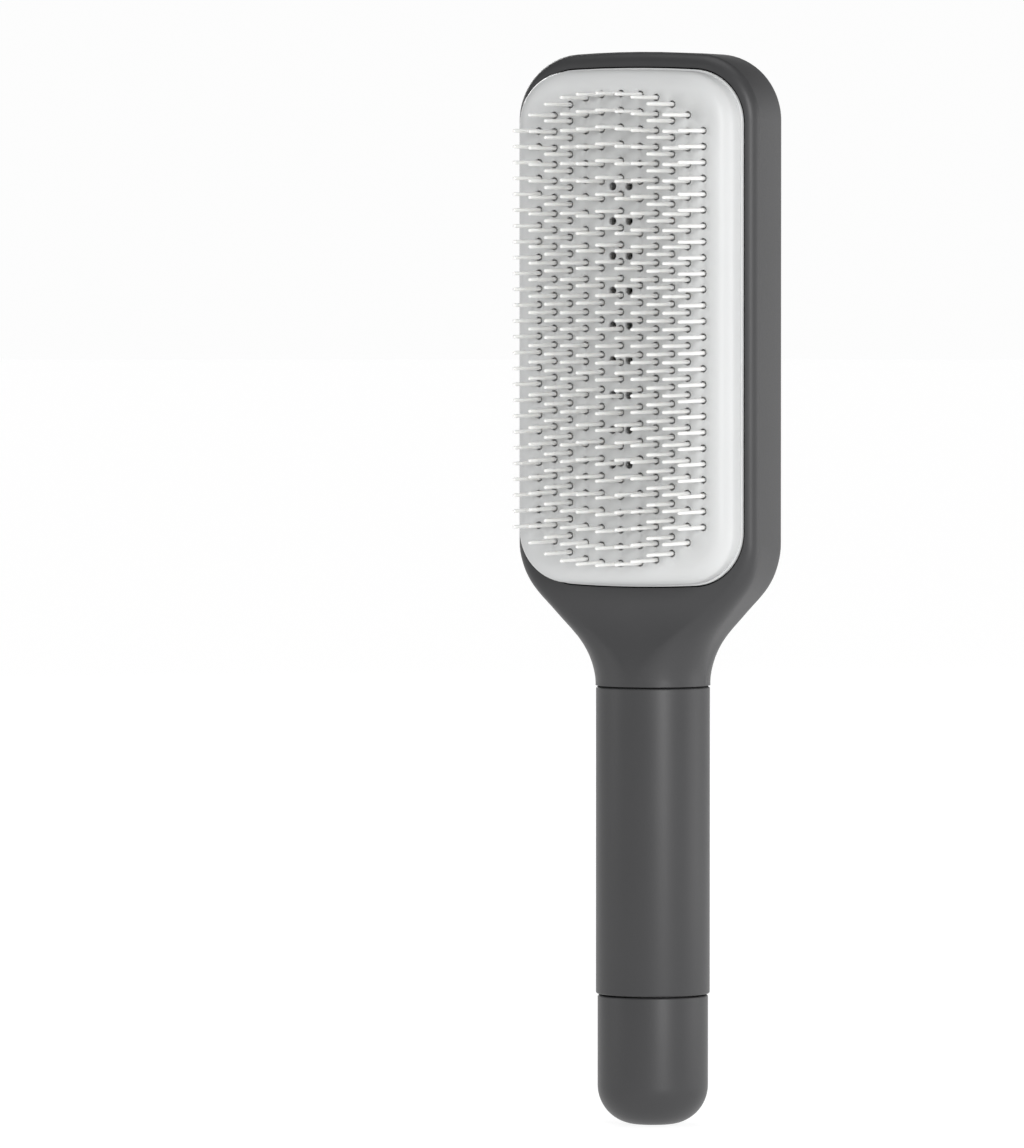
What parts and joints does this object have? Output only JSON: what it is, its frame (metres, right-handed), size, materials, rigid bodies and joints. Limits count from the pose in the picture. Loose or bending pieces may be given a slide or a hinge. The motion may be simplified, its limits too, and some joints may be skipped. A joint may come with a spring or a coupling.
{
  "type": "self-cleaning styling brush",
  "caption": "Styling brush with a long round handle, a flat head and white teeth that draw back through a perforated pad when the end of the handle is turned.",
  "frame": {"origin": "centre of the flat on the end of the handle, where the brush stands in the picture's pose", "axes": "+Z along the handle to the head's far end, +X across the head, -Y the way the teeth point"},
  "size_m": [0.0606, 0.0468, 0.25],
  "materials": {
    "soft_touch": "soft-touch grey",
    "gloss_panel": "pale grey gloss",
    "tape": "white adhesive film",
    "pad_white": "white satin",
    "seal": "black",
    "tooth_white": "white nylon",
    "steel": "ground",
    "acetal": "natural acetal",
    "shaft_steel": "turned",
    "core_black": "glass-filled nylon",
    "brass_bush": "sintered bronze",
    "screw_steel": "zinc plated"
  },
  "bodies": {
    "root": {"housing": "soft_touch", "back_panel": "gloss_panel", "panel_tape": "tape", "pad_cover": "pad_white", "pad_gasket": "seal", "guide_plate_right": "steel", "guide_plate_left": "steel", "tail_bush": "acetal", "handle_tube": "soft_touch", "neck_ring": "seal", "end_plug": "core_black", "lower_bush": "brass_bush", "thrust_washer": "acetal", "detent_ball": "steel", "detent_spring": "steel"},
    "knob": {"knob_shell": "soft_touch", "knob_hub": "core_black", "drive_shaft": "shaft_steel", "stop_pin": "steel", "knob_screw": "screw_steel", "knob_screw_washer": "steel"},
    "slide": {"cam_slide": "acetal", "follower_ball": "steel", "ball_screw": "steel"},
    "teeth": {"tooth_carrier": "tooth_white", "follower_pins": "steel"}
  },
  "joints": [
    {"name": "knob_twist", "type": "hinge", "parent": "root", "child": "knob", "pos_m": [0, 0, 0.015], "axis": [0, 0, 1], "range_deg": [0, 180]},
    {"name": "cam_travel", "type": "slide", "parent": "root", "child": "slide", "axis": [0, 0, 1], "range_m": [0, 0.0145]},
    {"name": "tooth_retract", "type": "slide", "parent": "root", "child": "teeth", "axis": [0, 1, 0], "range_m": [0, 0.0145]}
  ],
  "couplings": [
    {"joint": "knob_twist", "follows": "cam_travel", "rad_per_m": 216.66},
    {"joint": "tooth_retract", "follows": "cam_travel", "ratio": 1}
  ]
}
